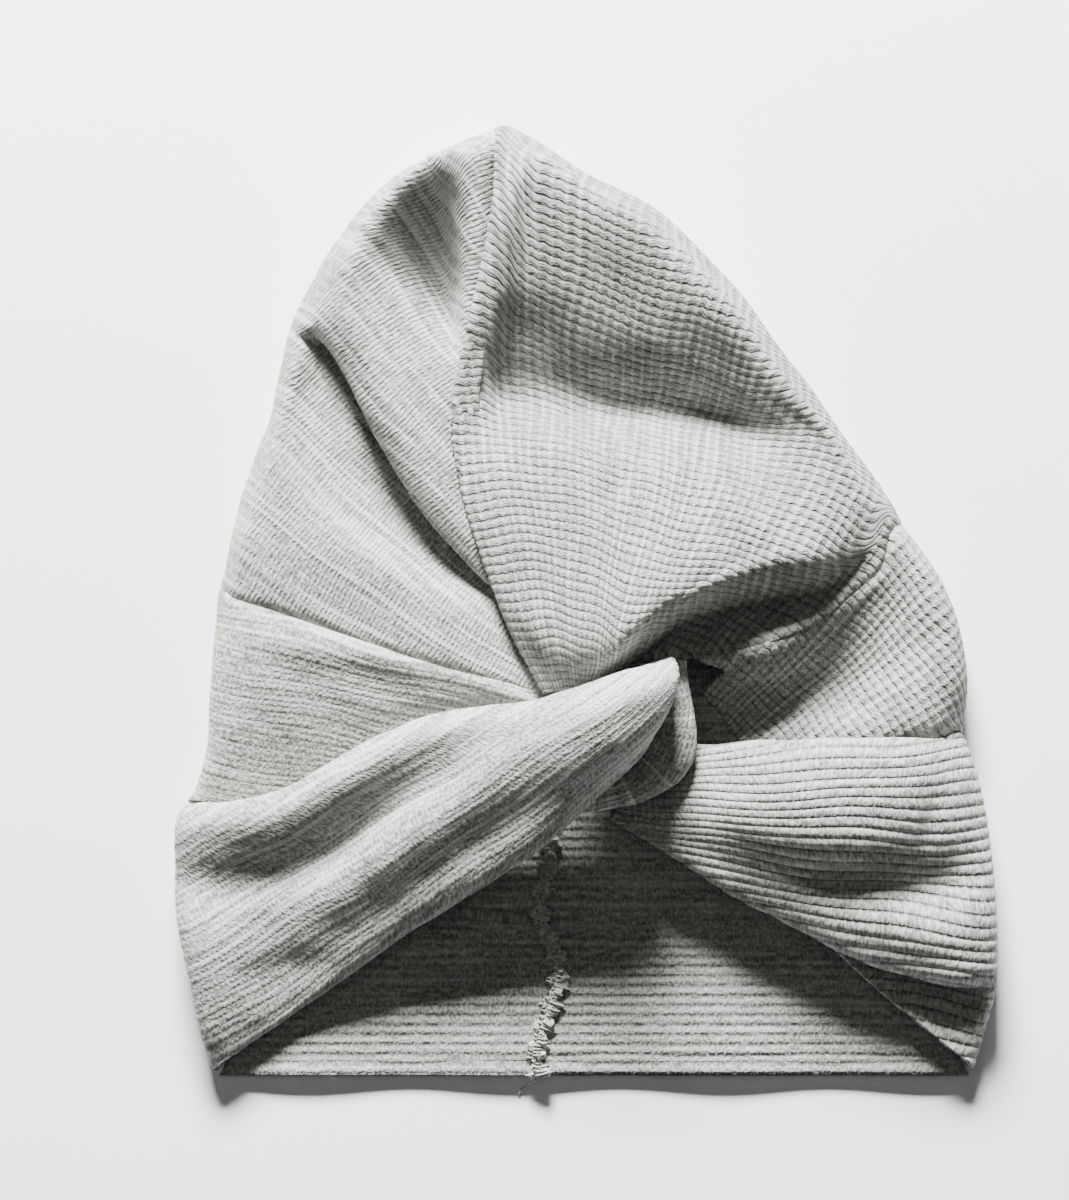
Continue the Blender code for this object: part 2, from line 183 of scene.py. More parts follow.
def steepCloth(points):
    # cloth that steep parts hold beyond their plan, summed outwards, and the way outwards
    step = np.diff(points, axis=1)
    extra = np.linalg.norm(step, axis=-1) - np.linalg.norm(step[..., :2], axis=-1)
    outward = np.cumsum(extra[:, ::-1], axis=1)[:, ::-1]
    outward = np.concatenate([outward, np.zeros((len(points), 1))], axis=1)
    aim = points[:, :1, :2] - points[:, -1:, :2]
    return outward, aim / np.linalg.norm(aim, axis=-1, keepdims=True)


# how far the knit's lines stray from even ones, in metres, and the waves they follow, in radians
# per metre across and along the wales
stray = {"across": 0.0005, "along": 0.0004, "first": (210, 70), "second": (-60, 130), "phase": 1.0}


def knitPlaces(points, grain):
    # where each point lies in the knit: across the wales and along them, in metres
    lean, fan = math.radians(grain["lean"]), grain["fan"]
    rel = points[..., :2] - np.array(grain["centre"]) * halfSizes
    reach = np.linalg.norm(rel, axis=-1)
    turn = np.arctan2(rel[..., 0], rel[..., 1])
    turn = (turn - lean + np.pi) % (2 * np.pi) - np.pi
    run = np.array((math.sin(lean), math.cos(lean)))
    side = np.array((run[1], -run[0]))
    along = fan * reach + (1 - fan) * (rel @ run)
    wale = fan * turn * grain["reach"] + (1 - fan) * (rel @ side)
    outward, aim = steepCloth(points)
    radial = rel / np.maximum(reach, tiny)[..., None]
    tangent = np.stack([radial[..., 1], -radial[..., 0]], axis=-1)
    along = along + outward * ((fan * radial + (1 - fan) * run) * aim).sum(axis=-1)
    wale = wale + outward * ((fan * tangent + (1 - fan) * side) * aim).sum(axis=-1)
    first, second = (wale * across + along * up for across, up in (stray["first"], stray["second"]))
    waver = np.sin(first) + np.sin(second + stray["phase"])
    return wale + stray["across"] * waver, along + stray["along"] * waver


def ribHeight(places, rib):
    # rounded ribs, and the wales that cross them where the knit is a waffle
    height = np.cos(2 * np.pi * places[rib["axis"]] / rib["pitch"])
    if "wales" in rib:
        wales = np.cos(2 * np.pi * places[1 - rib["axis"]] / rib["wales"])
        height = height + turban["crossRib"] * wales
    return rib["depth"] * height


def addGrid(name, points, places):
    # a flat grid primitive, moved onto the points, with the knit's places as its UV map
    across, along = points.shape[:2]
    bpy.ops.object.select_all(action="DESELECT")
    bpy.ops.mesh.primitive_grid_add(x_subdivisions=along - 1, y_subdivisions=across - 1, size=2)
    obj = bpy.context.object
    obj.name = obj.data.name = name
    mesh = obj.data
    flat = np.empty(len(mesh.vertices) * 3)
    mesh.vertices.foreach_get("co", flat)
    flat = flat.reshape(-1, 3)
    i = np.rint((flat[:, 1] + 1) / 2 * (across - 1)).astype(int)
    j = np.rint((flat[:, 0] + 1) / 2 * (along - 1)).astype(int)
    mesh.vertices.foreach_set("co", points[i, j].ravel())
    corner = np.empty(len(mesh.loops), int)
    mesh.loops.foreach_get("vertex_index", corner)
    uv = np.stack([places[0][i, j], places[1][i, j]], axis=-1)[corner]
    mesh.uv_layers[0].data.foreach_set("uv", uv.ravel())
    mesh.update()
    bpy.ops.object.shade_smooth()
    return obj


def finishCloth(obj, thickness, material):
    # the wall's thickness, half to each side, and its one material
    wall = obj.modifiers.new("cloth", "SOLIDIFY")
    wall.thickness = thickness
    wall.offset = 0
    bpy.context.view_layer.objects.active = obj
    bpy.ops.object.modifier_apply(modifier=wall.name)
    obj.data.shade_smooth()
    obj.data.materials.clear()
    obj.data.materials.append(material)


# sewn edges between two front panels: a narrow dip, and allowances that turn down inside
sewnEdge = {"dip": 0.0012, "width": 0.0016, "drops": (0.0006, 0.0016, 0.0030),
            "start": (0.004, 0.004), "plainRows": 5}


def turnAllowance(points, last):
    points = (points[::-1] if last else points).copy()
    gap = np.linalg.norm(points[:, :, :2] - points[:1, :, :2], axis=-1)
    fade = aboveTable(points[:1], sewnEdge["start"])
    points[..., 2] -= sewnEdge["dip"] * fade * np.exp(-(gap / sewnEdge["width"]) ** 2)
    rows = [points[0] - fade[0][:, None] * (0, 0, drop) for drop in sewnEdge["drops"]]
    points = np.concatenate([np.array(rows[::-1]), points])
    return points[::-1] if last else points


def clothPiece(spec, materials):
    rows = controlRows(spec["sections"], spec["turned"])
    across = evenPlaces(rows, spec["grid"][0])
    last = spec["seam"] == "last"
    if spec["seam"]:
        end, beside = (-1, -2) if last else (0, 1)
        ahead = rows[end, :, :2] - rows[beside, :, :2]
        rows[end, :, :2] -= turban["seamGap"] / 2 * ahead / np.linalg.norm(ahead, axis=1)[:, None]
    swept = np.swapaxes(spline(rows, across), 0, 1)
    along = evenPlaces(swept, spec["grid"][1])
    points = np.swapaxes(spline(swept, along), 0, 1)
    lowest = turban["cloth"] / 2
    points[..., 2] = np.maximum(points[..., 2], lowest)
    relief = foldHeight(points, spec["folds"]) + softWaves(points, len(spec["sections"]))
    relief *= aboveTable(points, turban["foldStart"])
    points = points + gridNormals(points) * relief[..., None]
    if spec["seam"]:
        points = turnAllowance(points, last)
    places = knitPlaces(points, spec["grain"])
    ribs = ribHeight(places, spec["rib"]) * aboveTable(points, turban["ribStart"])
    if spec["seam"]:
        # no ribs on the allowance, and lower ones beside it
        row = np.arange(len(points)) - len(sewnEdge["drops"])
        fade = np.clip(row / sewnEdge["plainRows"], 0, 1)[:, None]
        ribs = ribs * (fade[::-1] if last else fade)
    points = points + gridNormals(points) * ribs[..., None]
    points[..., 2] = np.maximum(points[..., 2], lowest)
    obj = addGrid(spec["name"], points, places)
    finishCloth(obj, turban["cloth"], materials[spec["material"]])
    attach(obj, "root")
    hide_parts(spec["node"])
    print("cloth", spec["name"], points.shape[:2])


# materials: one shared knit effect, used with each finish's own values
def feed(tree, socket, value):
    # a link from another node's socket, or a plain value
    if isinstance(value, bpy.types.NodeSocket):
        tree.links.new(value, socket)
    else:
        socket.default_value = value


def addNode(tree, kind, values=None, **settings):
    node = tree.nodes.new(kind)
    for name, value in settings.items():
        setattr(node, name, value)
    for key, value in (values or {}).items():
        feed(tree, node.inputs[key], value)
    return node


def sums(tree, operation, *values):
    return addNode(tree, "ShaderNodeMath", dict(enumerate(values)), operation=operation).outputs[0]


def ramp(tree, value, low, high, start=0.0, end=1.0):
    node = addNode(tree, "ShaderNodeMapRange", {
        "Value": value, "From Min": low, "From Max": high, "To Min": start, "To Max": end,
    }, interpolation_type="SMOOTHSTEP")
    return node.outputs["Result"]


def stretchedNoise(tree, x, y, mark):
    vector = addNode(tree, "ShaderNodeCombineXYZ", {
        "X": sums(tree, "MULTIPLY", x, mark["scale"][0]),
        "Y": sums(tree, "MULTIPLY", y, mark["scale"][1]), "Z": mark["depth"]})
    noise = addNode(tree, "ShaderNodeTexNoise", {
        "Vector": vector.outputs[0], "Scale": 1.0, "Detail": mark["detail"], "Roughness": 0.55})
    return noise.outputs["Fac"]


def mottle(tree, x, y, mark, start=0.0, end=1.0):
    return ramp(tree, stretchedNoise(tree, x, y, mark), *mark["range"], start, end)


def blendColours(tree, share, first, second):
    # sockets 6 and 7 are the mix's colours, and output 2 is its colour result
    node = addNode(tree, "ShaderNodeMix", {0: share, 6: first, 7: second}, data_type="RGBA")
    return node.outputs[2]


def newMaterial(name):
    made = bpy.data.materials.new(name)
    made.use_nodes = True
    return made, made.node_tree, made.node_tree.nodes["Principled BSDF"].inputs


# melange yarn: its tones, the painted shade for its grooves and recesses, and its marks per millimetre
# across and along the wales
yarn = {
    "pale": (0.50, 0.50, 0.475, 1.0), "grey": (0.12, 0.12, 0.112, 1.0),
    # the recess tone is painted shade: grooves and the gaps between wales blend towards it
    "streak": (0.68, 0.68, 0.66, 1.0), "recessShade": (0.07, 0.07, 0.066, 1.0),
    "stitchShare": 0.50, "broadShare": 0.15, "heatherShare": 0.35,
    "surface": {"Sheen Weight": 0.15, "Sheen Roughness": 0.5, "Specular IOR Level": 0.2},
}
marks = {
    "patchy": {"scale": (0.35, 0.30), "detail": 2.0, "depth": 3.0, "range": (0.30, 0.60)},
    "stitch": {"scale": (1.0, 1.0), "detail": 1.0, "depth": 7.0, "range": (0.38, 0.62)},
    "heather": {"scale": (0.22, 0.60), "detail": 3.0, "depth": 11.0, "range": (0.35, 0.65)},
    "broad": {"scale": (0.06, 0.06), "detail": 2.0, "depth": 15.0, "range": (0.35, 0.65)},
    "acrossStreak": {"scale": (0.42, 0.014), "detail": 2.0, "depth": 19.0, "range": (0.50, 0.60)},
    "alongStreak": {"scale": (0.014, 0.42), "detail": 2.0, "depth": 23.0, "range": (0.50, 0.60)},
}
# height of each part of the knit for the bump, in millimetres at full relief
knitRelief = {"rib": 0.20, "groove": -0.40, "recessShade": -0.60, "stitch": 0.16, "millimetre": 0.001}
# cross-section of one rib and one wale: where their slopes start and end, and the share down to which the
# grooves' painted shade and depth fade in patches
knitShape = {"grooveFloor": 0.05, "ribSlope": (0.0, 0.45), "waleSlope": (0.35, 0.85), "dashLeft": 0.25,
             "faintestGroove": 0.45, "rough": (0.95, 0.85), "roughRange": (0.3, 0.7)}


def makeKnitGroup():
    group = bpy.data.node_groups.new("ribbedKnit", "ShaderNodeTree")
    numbers = ("Groove Pitch", "Groove Width", "Groove Shade", "Wale Pitch", "Wale Shade", "Dash Gap",
               "Zigzag", "Relief", "Stitches Across", "Stitches Along", "Streaks Across", "Streaks Along")
    group.interface.new_socket("Places", in_out="INPUT", socket_type="NodeSocketVector")
    for name in numbers:
        group.interface.new_socket(name, in_out="INPUT", socket_type="NodeSocketFloat")
    for name in ("Light", "Dark"):
        group.interface.new_socket(name, in_out="INPUT", socket_type="NodeSocketColor")
    for name, kind in (("Color", "NodeSocketColor"), ("Height", "NodeSocketFloat"),
                       ("Roughness", "NodeSocketFloat")):
        group.interface.new_socket(name, in_out="OUTPUT", socket_type=kind)
    given = group.nodes.new("NodeGroupInput").outputs
    millimetres = addNode(group, "ShaderNodeVectorMath", {0: given["Places"], "Scale": 1000.0},
                          operation="SCALE").outputs[0]
    parts = addNode(group, "ShaderNodeSeparateXYZ", {0: millimetres}).outputs
    x, y = parts["X"], parts["Y"]
    # wales are raised columns, and the grooves zigzag with them
    column = sums(group, "DIVIDE", x, given["Wale Pitch"])
    columnPart = sums(group, "SUBTRACT", sums(group, "FRACT", column), 0.5)
    columnPart = sums(group, "MULTIPLY", sums(group, "ABSOLUTE", columnPart), 2.0)
    bent = sums(group, "MULTIPLY_ADD", sums(group, "SUBTRACT", columnPart, 0.5), given["Zigzag"], y)
    row = sums(group, "DIVIDE", bent, given["Groove Pitch"])
    rowPart = sums(group, "ABSOLUTE", sums(group, "SUBTRACT", sums(group, "FRACT", row), 0.5))
    gap = sums(group, "MULTIPLY", rowPart, given["Groove Pitch"])
    line = ramp(group, gap, knitShape["grooveFloor"], given["Groove Width"], 1.0, 0.0)
    dashStart = sums(group, "SUBTRACT", 1.0, given["Dash Gap"])
    dash = ramp(group, columnPart, dashStart, 1.0, 1.0, knitShape["dashLeft"])
    # patches where the grooves' painted shade and depth are fainter, at random
    patchy = mottle(group, x, y, marks["patchy"], knitShape["faintestGroove"])
    groove = sums(group, "MULTIPLY", sums(group, "MULTIPLY", line, dash), patchy)
    rounded = ramp(group, rowPart, *knitShape["ribSlope"])
    wale = ramp(group, columnPart, *knitShape["waleSlope"])
    # spun yarn: short stitches, heather, broad patches and long pale threads
    stitchX = sums(group, "MULTIPLY", x, given["Stitches Across"])
    stitchY = sums(group, "MULTIPLY", bent, given["Stitches Along"])
    grain = stretchedNoise(group, stitchX, stitchY, marks["stitch"])
    stitches = ramp(group, grain, *marks["stitch"]["range"])
    heather = mottle(group, x, y, marks["heather"])
    broad = mottle(group, x, y, marks["broad"])
    acrossStreak = mottle(group, x, y, marks["acrossStreak"])
    alongStreak = mottle(group, x, y, marks["alongStreak"])
    streak = sums(group, "MAXIMUM", sums(group, "MULTIPLY", acrossStreak, given["Streaks Across"]),
                  sums(group, "MULTIPLY", alongStreak, given["Streaks Along"]))
    mix = sums(group, "MULTIPLY", heather, yarn["heatherShare"])
    mix = sums(group, "MULTIPLY_ADD", broad, yarn["broadShare"], mix)
    mix = sums(group, "MULTIPLY_ADD", stitches, yarn["stitchShare"], mix)
    colour = blendColours(group, mix, given["Dark"], given["Light"])
    colour = blendColours(group, streak, colour, yarn["streak"])
    # painted shade: the gaps between wales and the grooves are darkened towards the recess tone
    recessShade = sums(group, "MULTIPLY", sums(group, "SUBTRACT", 1.0, wale), given["Wale Shade"])
    shade = sums(group, "MAXIMUM", sums(group, "MULTIPLY", groove, given["Groove Shade"]), recessShade)
    colour = blendColours(group, shade, colour, yarn["recessShade"])
    height = sums(group, "MULTIPLY", groove, knitRelief["groove"])
    height = sums(group, "MULTIPLY_ADD", rounded, knitRelief["rib"], height)
    height = sums(group, "MULTIPLY_ADD", recessShade, knitRelief["recessShade"], height)
    stitchHeight = sums(group, "MULTIPLY", stitches, knitRelief["stitch"])
    height = sums(group, "MULTIPLY_ADD", height, given["Relief"], stitchHeight)
    rough = ramp(group, grain, *knitShape["roughRange"], *knitShape["rough"])
    result = addNode(group, "NodeGroupOutput", {"Color": colour, "Height": height, "Roughness": rough})
    result.is_active_output = True
    return group


def knitMaterial(name, group, spec):
    made, tree, shader = newMaterial(name)
    for key, value in yarn["surface"].items():
        shader[key].default_value = value
    uv = addNode(tree, "ShaderNodeUVMap", uv_map="UVMap")
    mapping = addNode(tree, "ShaderNodeMapping", {
        "Vector": uv.outputs[0], "Rotation": (0, 0, math.radians(spec["turn"]))})
    knit = addNode(tree, "ShaderNodeGroup", {
        "Places": mapping.outputs[0], "Light": yarn["pale"], "Dark": yarn["grey"], **spec["knit"],
    }, node_tree=group)
    bump = addNode(tree, "ShaderNodeBump", {
        "Height": knit.outputs["Height"], "Strength": spec["bump"], "Distance": knitRelief["millimetre"]})
    feed(tree, shader["Base Color"], knit.outputs["Color"])
    feed(tree, shader["Roughness"], knit.outputs["Roughness"])
    feed(tree, shader["Normal"], bump.outputs[0])
    return made


# pitches and widths in millimetres, shades and shares from 0 to 1
finishes = {
    "waffle": {"turn": 0, "bump": 0.9, "knit": {
        "Groove Pitch": 2.9, "Groove Width": 0.60, "Groove Shade": 0.88, "Wale Pitch": 3.3,
        "Wale Shade": 0.34, "Dash Gap": 0.30, "Zigzag": 0.45, "Relief": 1.0, "Stitches Across": 0.8,
        "Stitches Along": 2.0, "Streaks Across": 0.25, "Streaks Along": 0.0}},
    "backRib": {"turn": 0, "bump": 0.8, "knit": {
        "Groove Pitch": 3.1, "Groove Width": 1.30, "Groove Shade": 0.34, "Wale Pitch": 2.6,
        "Wale Shade": 0.05, "Dash Gap": 0.20, "Zigzag": 0.0, "Relief": 0.8, "Stitches Across": 1.2,
        "Stitches Along": 0.7, "Streaks Across": 0.0, "Streaks Along": 0.25}},
    "bandRib": {"turn": 90, "bump": 0.9, "knit": {
        "Groove Pitch": 3.2, "Groove Width": 0.75, "Groove Shade": 0.85, "Wale Pitch": 2.4,
        "Wale Shade": 0.10, "Dash Gap": 0.35, "Zigzag": 0.15, "Relief": 0.85, "Stitches Across": 1.1,
        "Stitches Along": 0.5, "Streaks Across": 0.0, "Streaks Along": 0.20}},
    "fineRib": {"turn": 90, "bump": 0.8, "knit": {
        "Groove Pitch": 1.75, "Groove Width": 0.55, "Groove Shade": 0.60, "Wale Pitch": 1.6,
        "Wale Shade": 0.05, "Dash Gap": 0.95, "Zigzag": 0.30, "Relief": 0.22, "Stitches Across": 0.9,
        "Stitches Along": 0.7, "Streaks Across": 0.0, "Streaks Along": 0.40}},
    "crownRib": {"turn": 0, "bump": 0.8, "knit": {
        "Groove Pitch": 1.45, "Groove Width": 0.45, "Groove Shade": 0.65, "Wale Pitch": 2.6,
        "Wale Shade": 0.10, "Dash Gap": 0.60, "Zigzag": 0.25, "Relief": 0.5, "Stitches Across": 0.7,
        "Stitches Along": 1.6, "Streaks Across": 0.50, "Streaks Along": 0.0}},
}
knitGroup = makeKnitGroup()
materials = {name: knitMaterial(name, knitGroup, spec) for name, spec in finishes.items()}
print("materials made")

# raised ribs in metres: axis 0 counts across the wales and axis 1 along them
waffleRibs = {"axis": 1, "pitch": 0.0029, "depth": 0.00010, "wales": 0.0033}
fineRibs = {"axis": 0, "pitch": 0.0035, "depth": 0.00006}

# Each panel is a run of sections, and a section runs from the outer edge to the knot. A point is
# three shares: of the half width, of the half length and, for its rise, of the loft.

# sewn lines that two panels share, from the outline to the knot
seamRight = ((.775, .158, .28), (.705, .066, .30), (.560, -.035, .37),
             (.430, -.085, .44), (.345, -.104, .44), (.255, -.112, .44))
seamLeft = ((-.897, .015, .30), (-.735, -.022, .37), (-.495, -.097, .42),
            (-.245, -.160, .41), (-.165, -.180, .37), (-.095, -.198, .31))

# Right crown: folds over at the middle, drops into a valley and rises to a ridge
crownRight = {
    "name": "crownRight", "node": "crown_right", "slot": "knit_crown", "material": "waffle",
    "turned": True, "seam": "last", "grid": (200, 236),
    "flat": (0.190, 0.215), "area": 0.030, "restsOn": ["back_right"],
    "grain": {"centre": (-.02, -.30), "lean": 4, "fan": 0.55, "reach": 0.110},
    "rib": waffleRibs,
    "folds": [
        {"rise": -0.0012, "width": 0.0035,
         "path": ((.02, .20), (.07, .235), (.12, .28), (.15, .345))},
        {"rise": 0.0010, "width": 0.0100, "path": ((-.28, .10), (-.20, .00), (-.12, -.12))},
        {"rise": -0.0012, "width": 0.0060, "path": ((-.14, .35), (-.12, .10), (-.06, -.10))},
        {"rise": -0.0034, "width": 0.0065,
         "path": ((-.24, .466), (-.16, .454), (-.08, .440), (.04, .425), (.16, .405))},
    ],
    "sections": (
        ((-.216, .991, .33), (-.210, .845, .34), (-.232, .654, .33), (-.262, .420, .32),
         (-.235, .235, .34), (-.140, -.020, .34), (-.040, -.180, .34)),
        ((-.217, .994, .34), (-.218, .845, .42), (-.259, .654, .44), (-.318, .420, .38),
         (-.300, .235, .40), (-.200, .000, .42), (-.100, -.190, .38)),
        ((-.190, .996, .34), (-.190, .845, .53), (-.222, .655, .43), (-.258, .445, .29),
         (-.265, .250, .44), (-.172, .000, .52), (-.070, -.185, .41)),
        ((-.120, .965, .35), (-.124, .900, .58), (-.155, .680, .40), (-.200, .450, .12),
         (-.190, .270, .46), (-.100, -.055, .56), (-.040, -.180, .43)),
        ((.000, .900, .35), (-.005, .842, .61), (-.045, .655, .42), (-.085, .435, .10),
         (-.060, .290, .43), (-.030, -.065, .64), (.005, -.168, .45)),
        ((.190, .805, .35), (.168, .742, .62), (.108, .575, .41), (.058, .412, .11),
         (.030, .280, .50), (.030, -.060, .72), (.030, -.160, .47)),
        ((.370, .650, .35), (.338, .598, .58), (.275, .505, .41), (.195, .397, .14),
         (.138, .262, .57), (.070, -.055, .79), (.050, -.150, .47)),
        ((.500, .500, .34), (.460, .460, .49), (.420, .425, .40), (.350, .370, .19),
         (.255, .235, .60), (.100, -.045, .83), (.065, -.145, .46)),
        ((.620, .360, .34), (.590, .340, .44), (.560, .320, .42), (.480, .270, .44),
         (.365, .175, .64), (.140, -.028, .82), (.080, -.140, .45)),
        ((.700, .262, .33), (.655, .215, .41), (.600, .175, .48), (.520, .140, .57),
         (.395, .105, .66), (.180, -.010, .78), (.090, -.134, .43)),
        ((.745, .205, .32), (.680, .140, .36), (.622, .102, .43), (.545, .080, .55),
         (.405, .060, .64), (.225, -.005, .70), (.110, -.125, .40)),
        ((.763, .178, .30), (.692, .102, .32), (.632, .058, .32), (.555, .015, .30),
         (.415, -.018, .30), (.232, -.055, .31), (.122, -.116, .36)),
        seamRight[:2] + ((.634, .014, .33),) + seamRight[2:4]
        + ((.240, -.112, .44), (.140, -.114, .42)),
    ),
}
clothPiece(crownRight, materials)

# Right side: slopes down into the hole beside the knot
sideRight = {
    "name": "sideRight", "node": "side_right", "slot": "knit_crown", "material": "waffle",
    "turned": True, "seam": "first", "grid": (90, 170),
    "flat": (0.080, 0.115), "area": 0.0075, "restsOn": ["back_right"],
    "grain": {"centre": (.10, -.45), "lean": 40, "fan": 0.50, "reach": 0.120},
    "rib": waffleRibs,
    "folds": [
        {"rise": 0.0020, "width": 0.0080,
         "path": ((.86, .02), (.80, -.08), (.80, -.20), (.84, -.27))},
        {"rise": -0.0010, "width": 0.0050, "path": ((.70, .03), (.60, -.05), (.50, -.09))},
    ],
    "sections": (
        seamRight,
        ((.830, .090, .31), (.728, .012, .24), (.590, -.080, .23), (.460, -.130, .30),
         (.390, -.148, .29), (.335, -.142, .26)),
        ((.872, .025, .33), (.755, -.045, .21), (.610, -.118, .14), (.460, -.165, .15),
         (.365, -.185, .12), (.285, -.182, .11)),
        ((.910, -.060, .34), (.790, -.115, .24), (.630, -.165, .11), (.465, -.200, .10),
         (.385, -.220, .09), (.325, -.228, .08)),
        ((.924, -.150, .34), (.800, -.185, .31), (.640, -.215, .16), (.480, -.238, .10),
         (.405, -.256, .09), (.352, -.264, .08)),
        ((.919, -.245, .29), (.810, -.250, .34), (.660, -.268, .25), (.500, -.282, .15),
         (.430, -.290, .11), (.378, -.294, .09)),
        ((.918, -.278, .26), (.800, -.300, .27), (.660, -.315, .22), (.510, -.322, .16),
         (.450, -.326, .12), (.400, -.330, .10)),
    ),
}
clothPiece(sideRight, materials)

# Right band: deep grooves along it, a lobe over the hem and a thin lip below
bandRight = {
    "name": "bandRight", "node": "band_right", "slot": "knit_band", "material": "bandRib",
    "turned": True, "seam": None, "grid": (230, 120),
    "flat": (0.120, 0.150), "area": 0.0150, "restsOn": ["back_right"],
    "grain": {"centre": (-.10, -.42), "lean": 90, "fan": 0.45, "reach": 0.100},
    "rib": {"axis": 0, "pitch": 0.0032, "depth": 0.00014},
    "folds": [
        {"rise": -0.0018, "width": 0.0070,
         "path": ((.92, -.58), (.80, -.60), (.66, -.60), (.52, -.57))},
        {"rise": 0.0014, "width": 0.0050,
         "path": ((.95, -.69), (.82, -.70), (.66, -.66), (.50, -.61))},
        {"rise": -0.0012, "width": 0.0040, "path": ((.86, -.36), (.83, -.44), (.80, -.52))},
        {"rise": 0.0010, "width": 0.0060,
         "path": ((.30, -.42), (.42, -.47), (.56, -.50), (.70, -.50))},
    ],
    "sections": (
        ((.922, -.288, .26), (.770, -.335, .38), (.590, -.345, .40), (.400, -.350, .37),
         (.295, -.345, .30), (.185, -.330, .17)),
        ((.928, -.300, .27), (.765, -.290, .43), (.585, -.290, .46), (.400, -.298, .44),
         (.305, -.304, .36), (.195, -.300, .19)),
        ((.940, -.330, .29), (.775, -.315, .52), (.590, -.315, .58), (.400, -.325, .54),
         (.300, -.330, .41), (.185, -.320, .20)),
        ((.962, -.400, .31), (.800, -.395, .54), (.610, -.400, .64), (.410, -.395, .61),
         (.300, -.385, .46), (.180, -.350, .20)),
        ((.980, -.480, .31), (.820, -.485, .49), (.630, -.485, .60), (.415, -.455, .59),
         (.290, -.430, .46), (.165, -.380, .20)),
        ((.990, -.580, .30), (.840, -.585, .36), (.650, -.560, .46), (.420, -.510, .51),
         (.275, -.467, .43), (.130, -.400, .20)),
        ((.996, -.680, .33), (.855, -.672, .41), (.665, -.625, .42), (.420, -.562, .43),
         (.258, -.500, .37), (.095, -.420, .20)),
        ((1.00, -.780, .32), (.865, -.772, .36), (.670, -.722, .35), (.415, -.622, .35),
         (.240, -.536, .31), (.065, -.446, .19)),
        ((.998, -.818, .23), (.865, -.795, .25), (.672, -.742, .26), (.410, -.634, .27),
         (.235, -.534, .24), (.060, -.445, .17)),
        ((.990, -.850, .15), (.855, -.800, .12), (.665, -.740, .14), (.405, -.612, .21),
         (.240, -.520, .20), (.064, -.434, .15)),
        ((.945, -.985, .12), (.825, -.895, .16), (.655, -.770, .17), (.420, -.572, .19),
         (.255, -.492, .17), (.078, -.412, .13)),
    ),
}
clothPiece(bandRight, materials)

# Left band: broad, crosses the knot and turns down at its right side
bandLeft = {
    "name": "bandLeft", "node": "band_left", "slot": "knit_band", "material": "fineRib",
    "turned": True, "seam": None, "grid": (190, 190),
    "flat": (0.115, 0.190), "area": 0.0180, "restsOn": ["back_left_band"],
    "grain": {"centre": (.30, -.05), "lean": -122, "fan": 0.35, "reach": 0.110},
    "rib": fineRibs,
    "folds": [
        {"rise": -0.0026, "width": 0.0090,
         "path": ((-.96, -.60), (-.80, -.56), (-.62, -.49), (-.42, -.36), (-.24, -.27))},
        {"rise": 0.0022, "width": 0.0080,
         "path": ((-.80, -.63), (-.62, -.60), (-.45, -.50), (-.28, -.39), (-.08, -.28))},
        {"rise": -0.0020, "width": 0.0070,
         "path": ((-.70, -.72), (-.52, -.66), (-.36, -.56), (-.20, -.46), (.00, -.36))},
        {"rise": 0.0012, "width": 0.0050,
         "path": ((-.40, -.255), (-.25, -.235), (-.12, -.225), (.00, -.200))},
        {"rise": -0.0010, "width": 0.0040,
         "path": ((-.30, -.295), (-.18, -.275), (-.06, -.245), (.02, -.215))},
        {"rise": -0.0014, "width": 0.0060, "path": ((-.86, -.80), (-.72, -.76), (-.58, -.75))},
    ],
    "sections": (
        ((-.905, -.985, .12), (-.700, -.815, .13), (-.420, -.645, .21), (-.150, -.495, .38),
         (.030, -.350, .51), (.120, -.260, .56), (.090, -.250, .54)),
        ((-.912, -.975, .13), (-.700, -.848, .14), (-.420, -.678, .29), (-.150, -.528, .49),
         (.040, -.388, .60), (.140, -.288, .62), (.110, -.275, .52)),
        ((-.935, -.900, .22), (-.710, -.795, .20), (-.430, -.635, .41), (-.160, -.495, .59),
         (.040, -.360, .77), (.158, -.262, .77), (.115, -.250, .55)),
        ((-.962, -.790, .29), (-.720, -.715, .29), (-.440, -.565, .47), (-.170, -.420, .67),
         (.040, -.305, .91), (.182, -.225, .83), (.120, -.220, .57)),
        ((-.985, -.690, .30), (-.730, -.640, .31), (-.440, -.490, .51), (-.180, -.350, .71),
         (.045, -.255, .96), (.200, -.190, .84), (.130, -.195, .58)),
        ((-.998, -.610, .26), (-.735, -.570, .33), (-.435, -.425, .44), (-.172, -.300, .74),
         (.050, -.215, .98), (.208, -.160, .84), (.135, -.175, .58)),
        ((-1.00, -.540, .30), (-.735, -.495, .46), (-.432, -.352, .54), (-.158, -.260, .72),
         (.055, -.182, .93), (.208, -.138, .79), (.135, -.158, .57)),
        ((-.998, -.485, .33), (-.738, -.435, .51), (-.430, -.292, .57), (-.143, -.236, .66),
         (.062, -.158, .83), (.203, -.125, .70), (.135, -.145, .56)),
        ((-.992, -.454, .29), (-.740, -.396, .41), (-.430, -.256, .48), (-.130, -.213, .56),
         (.068, -.154, .69), (.200, -.122, .61), (.130, -.140, .53)),
        ((-.980, -.440, .24), (-.730, -.415, .28), (-.420, -.280, .37), (-.120, -.225, .45),
         (.065, -.170, .52), (.170, -.150, .52), (.120, -.160, .52)),
    ),
}
clothPiece(bandLeft, materials)

